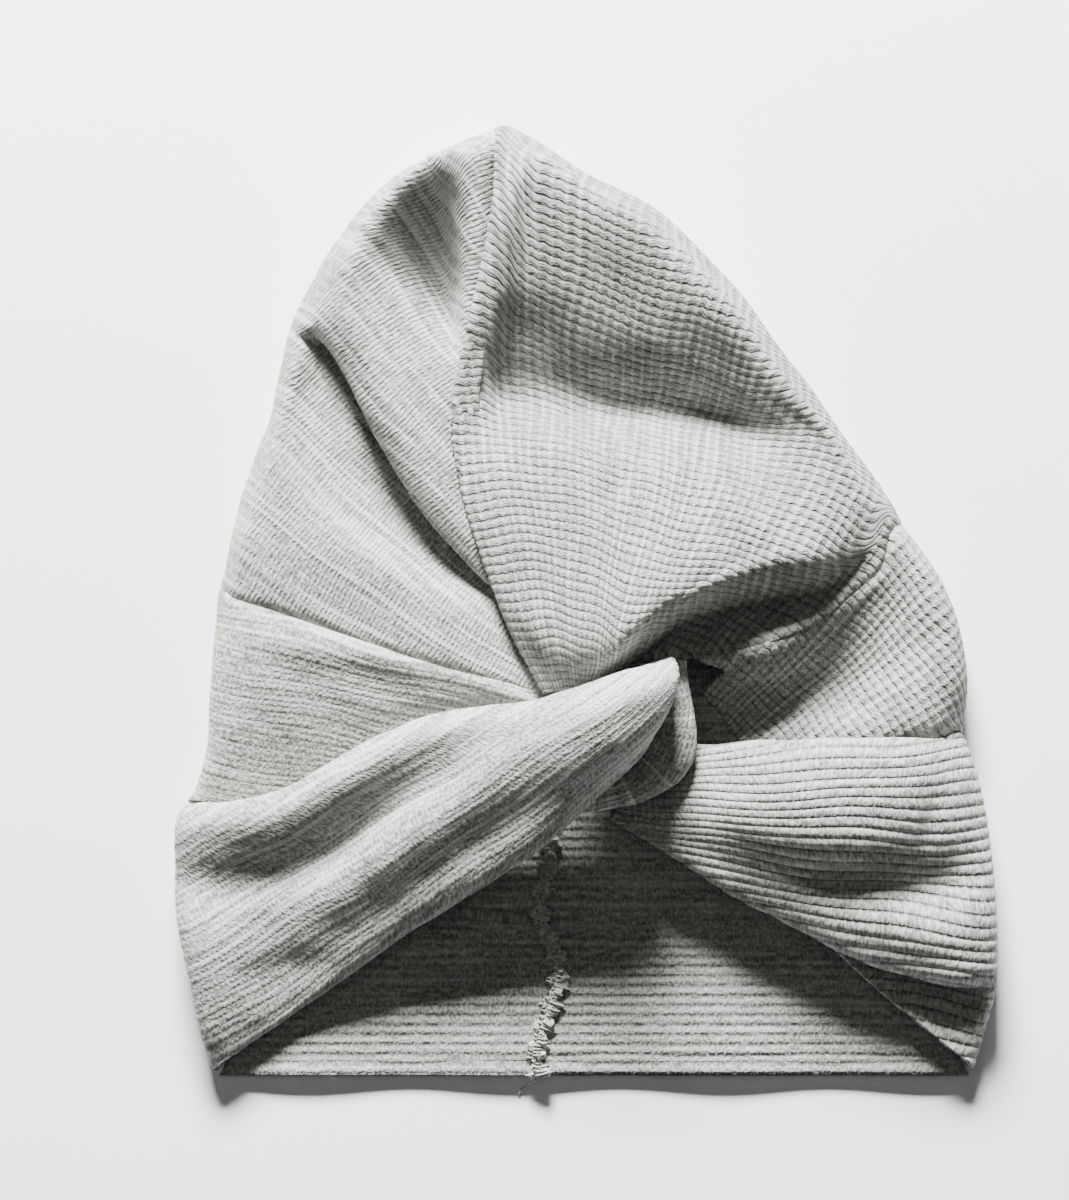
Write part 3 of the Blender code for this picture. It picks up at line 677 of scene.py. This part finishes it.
# Left side: smooth, its ribs run to the knot
sideLeft = {
    "name": "sideLeft", "node": "side_left", "slot": "knit_crown", "material": "fineRib",
    "turned": True, "seam": "last", "grid": (90, 150),
    "flat": (0.075, 0.145), "area": 0.0080, "restsOn": ["back_left_yoke"],
    "grain": {"centre": (.25, -.30), "lean": -77, "fan": 0.30, "reach": 0.110},
    "rib": fineRibs,
    "folds": [
        {"rise": -0.0008, "width": 0.0060, "path": ((-.85, -.10), (-.60, -.14), (-.35, -.18))},
    ],
    "sections": (
        ((-.967, -.430, .22), (-.740, -.440, .17), (-.430, -.300, .27),
         (-.200, -.250, .34), (-.140, -.245, .32), (-.090, -.240, .29)),
        ((-.950, -.400, .25), (-.740, -.380, .22), (-.430, -.242, .31),
         (-.200, -.218, .35), (-.140, -.220, .33), (-.090, -.225, .30)),
        ((-.925, -.300, .31), (-.750, -.270, .31), (-.450, -.205, .36),
         (-.210, -.200, .38), (-.145, -.208, .34), (-.090, -.215, .30)),
        ((-.915, -.180, .32), (-.750, -.165, .37), (-.460, -.160, .41),
         (-.220, -.185, .40), (-.155, -.198, .35), (-.092, -.208, .30)),
        ((-.906, -.080, .32), (-.745, -.085, .41), (-.475, -.125, .44),
         (-.230, -.172, .41), (-.160, -.190, .36), (-.094, -.203, .31)),
        seamLeft,
    ),
}
clothPiece(sideLeft, materials)

# Left crown: a pleat laps over its lower half, and a dent lies beside the middle fold
crownLeft = {
    "name": "crownLeft", "node": "crown_left", "slot": "knit_crown", "material": "crownRib",
    "turned": True, "seam": "first", "grid": (260, 170),
    "flat": (0.180, 0.150), "area": 0.0210, "restsOn": ["back_left_yoke"],
    "grain": {"centre": (.25, -.30), "lean": -40, "fan": 0.60, "reach": 0.120},
    "rib": fineRibs,
    "folds": [
        {"rise": 0.0014, "width": 0.0100,
         "path": ((-.62, .72), (-.48, .56), (-.38, .38), (-.28, .20))},
        {"rise": -0.0012, "width": 0.0080,
         "path": ((-.80, .42), (-.62, .30), (-.45, .15), (-.28, -.01))},
    ],
    "sections": (
        seamLeft[:1] + ((-.818, -.003, .34),) + seamLeft[1:],
        ((-.870, .120, .33), (-.790, .095, .37), (-.700, .060, .40), (-.470, -.020, .44),
         (-.240, -.095, .39), (-.165, -.140, .35), (-.100, -.180, .30)),
        ((-.830, .240, .33), (-.760, .205, .38), (-.680, .160, .41), (-.470, .060, .43),
         (-.250, -.030, .36), (-.170, -.090, .32), (-.105, -.160, .29)),
        ((-.790, .350, .32), (-.730, .315, .35), (-.660, .262, .34), (-.460, .110, .32),
         (-.262, .005, .29), (-.175, -.050, .29), (-.110, -.140, .28)),
        ((-.740, .500, .30), (-.672, .445, .25), (-.605, .385, .21), (-.445, .175, .19),
         (-.268, .040, .22), (-.175, -.020, .26), (-.110, -.120, .28)),
        ((-.722, .565, .26), (-.628, .530, .17), (-.545, .440, .13), (-.402, .228, .13),
         (-.245, .078, .19), (-.160, .000, .26), (-.095, -.110, .29)),
        ((-.712, .590, .29), (-.642, .555, .32), (-.576, .470, .34), (-.446, .258, .36),
         (-.295, .090, .34), (-.180, -.010, .29), (-.100, -.100, .29)),
        ((-.702, .612, .31), (-.626, .584, .40), (-.556, .508, .45), (-.424, .294, .46),
         (-.276, .120, .39), (-.175, .010, .30), (-.095, -.090, .29)),
        ((-.650, .700, .33), (-.600, .640, .43), (-.540, .560, .46), (-.396, .335, .42),
         (-.255, .150, .32), (-.165, .030, .27), (-.090, -.070, .28)),
        ((-.560, .810, .35), (-.528, .762, .47), (-.470, .650, .30), (-.365, .420, .35),
         (-.250, .200, .26), (-.160, .050, .25), (-.085, -.060, .28)),
        ((-.470, .890, .37), (-.450, .850, .49), (-.405, .670, .12), (-.340, .460, .31),
         (-.242, .220, .23), (-.155, .060, .25), (-.080, -.050, .28)),
        ((-.360, .940, .37), (-.355, .905, .49), (-.328, .640, .05), (-.315, .470, .28),
         (-.228, .220, .23), (-.145, .060, .25), (-.075, -.045, .28)),
        ((-.270, .975, .35), (-.268, .890, .42), (-.275, .700, .32), (-.278, .470, .21),
         (-.205, .210, .25), (-.135, .055, .27), (-.070, -.040, .28)),
        ((-.225, .990, .33), (-.222, .880, .28), (-.236, .700, .25), (-.240, .460, .19),
         (-.190, .200, .31), (-.125, .050, .29), (-.065, -.035, .28)),
    ),
}
clothPiece(crownLeft, materials)

# The band's inner layer, a crescent round the knot's right side
knotWrap = {
    "name": "knotWrap", "node": "knot_wrap", "slot": "knit_band", "material": "crownRib",
    "turned": False, "seam": None, "grid": (120, 50),
    "flat": (0.060, 0.024), "area": 0.0012, "restsOn": ["band_left"],
    "grain": {"centre": (.02, -.24), "lean": 110, "fan": 0.90, "reach": 0.030},
    "rib": {"axis": 1, "pitch": 0.0027, "depth": 0.0001},
    "folds": [],
    "sections": (
        ((.190, -.125, .36), (.230, -.122, .42), (.213, -.122, .46), (.165, -.130, .45)),
        ((.200, -.180, .36), (.240, -.180, .44), (.222, -.180, .50), (.165, -.180, .49)),
        ((.210, -.245, .36), (.254, -.250, .44), (.232, -.245, .51), (.155, -.220, .50)),
        ((.200, -.300, .36), (.248, -.320, .44), (.225, -.302, .51), (.135, -.250, .49)),
        ((.165, -.342, .36), (.200, -.376, .43), (.182, -.350, .50), (.100, -.285, .48)),
        ((.110, -.372, .35), (.130, -.408, .41), (.122, -.380, .47), (.055, -.320, .48)),
        ((.050, -.385, .33), (.050, -.424, .38), (.050, -.400, .43), (.000, -.345, .45)),
        ((-.010, -.395, .31), (-.025, -.430, .34), (-.020, -.412, .39), (-.050, -.370, .40)),
    ),
}
clothPiece(knotWrap, materials)
print("front made")

# Back: flat panels seen from inside between the bands, sewn at the middle and at the yoke
back = {
    "seam": ((-.111, -1.00), (-.120, -.955), (-.112, -.915), (-.082, -.845), (-.064, -.782),
             (-.084, -.719), (-.112, -.656), (-.104, -.590), (-.088, -.541), (-.100, -.440),
             (-.108, -.300), (-.108, -.150), (-.110, .000)),
    "yoke": ((-.110, -.660), (-.350, -.630), (-.600, -.560), (-.860, -.430)),
    "hem": -0.998, "top": 0.925, "hemFold": -0.966,
    "rightCorner": (.938, -.999), "leftCorner": (-.898, -.999),
    "columns": 60, "yokeGap": 0.0003, "hemFoldWidth": 0.006,
    "wave": {"height": 0.0006, "across": (95, 0.6), "along": (60, 1.0)},  # radians per metre, phase
    "seamDip": {"depth": 0.0006, "width": 0.0008},
    "seamRidge": {"rise": 0.0020, "off": 0.0016, "width": 0.0008},
}


def edgeOutline(specs, corner):
    # where the turned edges end inside, in plan, sorted from the hem up
    ends = []
    steps = 30
    for spec in specs:
        rows = np.array([turnedEdge(section[0])[0] for section in spec["sections"]])
        ends.append(spline(rows, np.linspace(0, len(rows) - 1, steps))[:, :2])
    ends.append(np.array([corner]) * halfSizes)
    line = np.concatenate(ends)
    return line[np.argsort(line[:, 1])]


def outlineX(line, y):
    return np.interp(y, line[:, 1], line[:, 0])


def sewnHeight(fromSeam):
    # a needle line and the ridge of the allowance beside it
    dip, ridge = back["seamDip"], back["seamRidge"]
    height = ridge["rise"] * np.exp(-((np.abs(fromSeam) - ridge["off"]) / ridge["width"]) ** 2)
    return height - dip["depth"] * np.exp(-(fromSeam / dip["width"]) ** 2)


def backPiece(spec, material):
    # rows run level from the centre seam to the outline, between the panel's two ends
    t = np.linspace(0, 1, spec["rows"])[:, None]
    s = np.linspace(0, 1, back["columns"])[None, :]
    y = spec["low"][None, :] * (1 - t) + spec["high"][None, :] * t
    inner = outlineX(seamLine, y) + spec["side"] * turban["seamGap"] / 2
    x = inner + (outlineX(spec["outline"], y) - inner) * s
    lowest = turban["backCloth"] / 2
    xOften, xPhase = back["wave"]["across"]
    yOften, yPhase = back["wave"]["along"]
    ripple = np.sin(x * xOften + xPhase) * np.sin(y * yOften + yPhase)
    height = lowest + back["wave"]["height"] * (1 + ripple)
    for sewn, row in zip(spec["sewn"], (y[:1], y[-1:])):
        if sewn:
            height += sewnHeight(y - row)
    fromFold = y / turban["halfLength"] - back["hemFold"]
    height -= spec["hemDip"] * np.exp(-(fromFold / back["hemFoldWidth"]) ** 2)
    points = np.stack([x, y, np.maximum(height, lowest)], axis=-1)
    turned = slice(None, None, spec["side"])  # the left panels run the other way
    obj = addGrid(spec["name"], points[:, turned], (x[:, turned], y[:, turned]))
    finishCloth(obj, turban["backCloth"], material)
    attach(obj, "root")
    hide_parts(spec["node"])
    print("back", spec["name"])


seamLine = smoothPath(back["seam"], 200)  # 200 steps keep its wander
rightLine = edgeOutline((crownRight, sideRight, bandRight), back["rightCorner"])
leftLine = edgeOutline((bandLeft, sideLeft, crownLeft), back["leftCorner"])
hemY = np.full(back["columns"], back["hem"] * turban["halfLength"])
topY = np.full(back["columns"], back["top"] * turban["halfLength"])
yokeY = smoothPath(back["yoke"], back["columns"])[:, 1]
backRight = {
    "name": "backRight", "node": "back_right", "side": 1, "outline": rightLine,
    "low": hemY, "high": topY, "rows": 220, "sewn": (False, False), "hemDip": 0.0008,
    "flat": (0.137, 0.287), "area": 0.029,
}
backYoke = {
    "name": "backYoke", "node": "back_left_yoke", "side": -1, "outline": leftLine,
    "low": yokeY + back["yokeGap"], "high": topY, "rows": 160, "sewn": (True, False), "hemDip": 0.0,
    "flat": (0.103, 0.240), "area": 0.0175,
}
backBand = {
    "name": "backBand", "node": "back_left_band", "side": -1, "outline": leftLine,
    "low": hemY, "high": yokeY - back["yokeGap"], "rows": 110, "sewn": (False, True), "hemDip": 0.0004,
    "flat": (0.107, 0.090), "area": 0.0073,
}
for spec in (backRight, backYoke, backBand):
    backPiece(spec, materials["backRib"])

# Overlocked allowance: a ruffled strip along the centre back with thread loops over its edge
overlock = {
    "path": back["seam"], "rows": 620, "columns": 13,
    "width": 0.0046, "rise": 0.0036, "thickness": 0.0009,
    "above": 0.0005, "lowest": 0.0010, "ruffle": 0.0008, "tilt": (0.3, 0.7), "curl": 0.0007,
    # waves along it: size, radians per metre, phase
    "ruffles": ((1.0, 1150, 0), (0.6, 1790, 1), (0.5, 610, 2)),
    "ragged": ((0.32, 830, 0.5), (0.18, 2100, 0)),
    "loops": 130, "thread": 0.00026, "sides": 5, "seed": 5,
    "freeRows": (4, 8), "stride": 5, "lift": 0.0008, "liftSpread": 0.0005, "lean": 0.0006,
    "looseOut": (0.15, 0.85), "loopSteps": 11, "tailSteps": 20,
    "tail": ((-.113, -.990, .0045), (-.122, -1.004, .0035), (-.140, -1.016, .0022),
             (-.156, -1.026, .0010), (-.165, -1.040, .0007)),
}


def unitRows(vectors):
    return vectors / np.maximum(np.linalg.norm(vectors, axis=1, keepdims=True), tiny)


def tubesAlong(paths, radius, sides):
    # one mesh of small round threads
    made = bmesh.new()
    askew = (0.31, 0.17, 0.94)  # along none of the threads
    turns = [2 * math.pi * k / sides for k in range(sides)]
    for path in paths:
        ahead = unitRows(np.gradient(path, axis=0))
        up = unitRows(np.cross(ahead, askew))
        side = np.cross(ahead, up)
        rings = [[made.verts.new(point + radius * (math.cos(turn) * a + math.sin(turn) * b))
                  for turn in turns] for point, a, b in zip(path, up, side)]
        for one, two in zip(rings, rings[1:]):
            for k in range(sides):
                following = (k + 1) % sides
                made.faces.new((one[k], one[following], two[following], two[k]))
        made.faces.new(rings[0][::-1])
        made.faces.new(rings[-1])
    bmesh.ops.recalc_face_normals(made, faces=made.faces)
    return made


def waveSum(run, waves):
    return sum(size * np.sin(run * often + phase) for size, often, phase in waves)


def stripPoints(spec):
    # rows of the strip, and where each point lies across and along it
    line = smoothPath(spec["path"], spec["rows"])
    steps = np.linalg.norm(np.diff(line, axis=0), axis=1)
    run = np.concatenate([[0.0], np.cumsum(steps)])
    ahead = unitRows(np.gradient(line, axis=0))
    side = np.stack([ahead[:, 1], -ahead[:, 0]], axis=-1)
    s = np.linspace(-1, 1, spec["columns"])
    ruffle = spec["ruffle"] * waveSum(run, spec["ruffles"])
    half = spec["width"] / 2 * (1 + waveSum(run, spec["ragged"]))
    offset = s * half[:, None]
    level, tilt = spec["tilt"]
    height = turban["backCloth"] + spec["rise"] / 2 + spec["above"]
    height = height + ruffle[:, None] * (level + tilt * s) - spec["curl"] * s ** 2
    height = np.maximum(height, turban["backCloth"] + spec["lowest"])
    plan = line[:, None] + side[:, None] * offset[..., None]
    points = np.concatenate([plan, height[..., None]], axis=-1)
    return points, (offset, run[:, None] + 0 * s)


def loopPaths(points, spec):
    # loops lean over the strip's edges in turn, each a little different
    dice = np.random.default_rng(spec["seed"])
    middle = spec["columns"] // 2
    quarter = middle // 2
    firstFree, lastFree = spec["freeRows"]
    paths = []
    for k in range(spec["loops"]):
        i = int((k + 0.5) / spec["loops"] * (len(points) - firstFree - lastFree)) + firstFree
        edge = points[i, 1 if k % 2 else -2]
        lean = dice.uniform(-1, 1, 3) * spec["lean"]
        lift = np.array((0, 0, spec["lift"] + spec["liftSpread"] * dice.random()))
        start = points[i, quarter] + lift * 0.6
        end = points[i + spec["stride"], middle] + lift * 0.7
        out = edge + (edge - points[i, middle]) * dice.uniform(*spec["looseOut"]) + lean * (1, 1, 0.5)
        bends = np.array([start, (start + out) / 2 + lift, out, (out + end) / 2 - lift * 0.3, end])
        paths.append(spline(bends, np.linspace(0, len(bends) - 1, spec["loopSteps"])))
    return paths


def makeOverlock(spec, material):
    points, places = stripPoints(spec)
    strip = addGrid("overlockStrip", points, places)
    finishCloth(strip, spec["thickness"], material)
    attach(strip, "root")
    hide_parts("back_seam")
    tail = np.array(spec["tail"]) * (*halfSizes, 1.0)
    paths = loopPaths(points, spec)
    paths.append(spline(tail, np.linspace(0, len(tail) - 1, spec["tailSteps"])))
    made = tubesAlong(paths, spec["thread"], spec["sides"])
    mesh = bpy.data.meshes.new("overlockThread")
    made.to_mesh(mesh)
    made.free()
    mesh.uv_layers.new(name="UVMap")
    mesh.materials.append(material)
    mesh.shade_smooth()
    thread = bpy.data.objects.new("overlockThread", mesh)
    scene.collection.objects.link(thread)
    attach(thread, "root")


# the overlock's yarn, mottled by its place
threadLook = {"grey": (0.22, 0.215, 0.20, 1.0), "pale": (0.60, 0.595, 0.57, 1.0), "roughness": 0.9,
              "sheen": 0.2, "scale": 900.0, "bump": 0.8, "depth": 0.0006}


def threadMaterial(name, look):
    made, tree, shader = newMaterial(name)
    places = addNode(tree, "ShaderNodeTexCoord").outputs["Object"]
    noise = addNode(tree, "ShaderNodeTexNoise", {
        "Vector": places, "Scale": look["scale"], "Detail": 3.0}).outputs["Fac"]
    shade = addNode(tree, "ShaderNodeMapRange", {"Value": noise, "From Min": 0.35, "From Max": 0.65})
    bump = addNode(tree, "ShaderNodeBump", {
        "Height": noise, "Strength": look["bump"], "Distance": look["depth"]})
    feed(tree, shader["Base Color"], blendColours(tree, shade.outputs[0], look["grey"], look["pale"]))
    feed(tree, shader["Roughness"], look["roughness"])
    feed(tree, shader["Sheen Weight"], look["sheen"])
    feed(tree, shader["Normal"], bump.outputs[0])
    return made


makeOverlock(overlock, threadMaterial("overlockThread", threadLook))
print("overlock made")

# Pale table
table = {"size": 4.0, "grey": (0.88, 0.91, 0.93, 1.0), "white": (0.92, 0.95, 0.96, 1.0),
         "roughness": 0.85, "scale": 9.0}


def addTable(spec):
    bpy.ops.mesh.primitive_plane_add(size=spec["size"], location=(0, 0, 0))
    obj = bpy.context.object
    obj.name = "table"
    made, tree, shader = newMaterial("paleTable")
    places = addNode(tree, "ShaderNodeTexCoord").outputs["Object"]
    noise = addNode(tree, "ShaderNodeTexNoise", {
        "Vector": places, "Scale": spec["scale"], "Detail": 4.0}).outputs["Fac"]
    feed(tree, shader["Base Color"], blendColours(tree, noise, spec["grey"], spec["white"]))
    feed(tree, shader["Roughness"], spec["roughness"])
    obj.data.materials.append(made)


# Soft daylight from the crown's side, a faint light overhead and the room's glow
windowLight = {"name": "window", "spot": (-0.20, 1.60, 0.88), "size": (0.6, 0.4), "power": 295,
               "colour": (1.0, 0.99, 0.98)}
roomLight = {"name": "room", "spot": (-0.3, 0.3, 1.9), "size": (1.2, 1.2), "power": 2.4,
             "colour": (1.0, 0.98, 0.96)}
roomGlow = {"Color": (1.0, 0.98, 0.95, 1.0), "Strength": 0.075}


def addLight(spec):
    # aimed at the middle of the table
    spot = Vector(spec["spot"])
    bpy.ops.object.light_add(type="AREA", location=spot)
    light = bpy.context.object
    light.name = spec["name"]
    light.data.shape = "RECTANGLE"
    light.data.size, light.data.size_y = spec["size"]
    light.data.energy = spec["power"]
    light.data.color = spec["colour"]
    light.rotation_euler = (-spot).to_track_quat("-Z", "Y").to_euler()


addTable(table)
addLight(windowLight)
addLight(roomLight)
scene.world = bpy.data.worlds.new("room")
scene.world.use_nodes = True
for key, value in roomGlow.items():
    scene.world.node_tree.nodes["Background"].inputs[key].default_value = value
print("lights set")
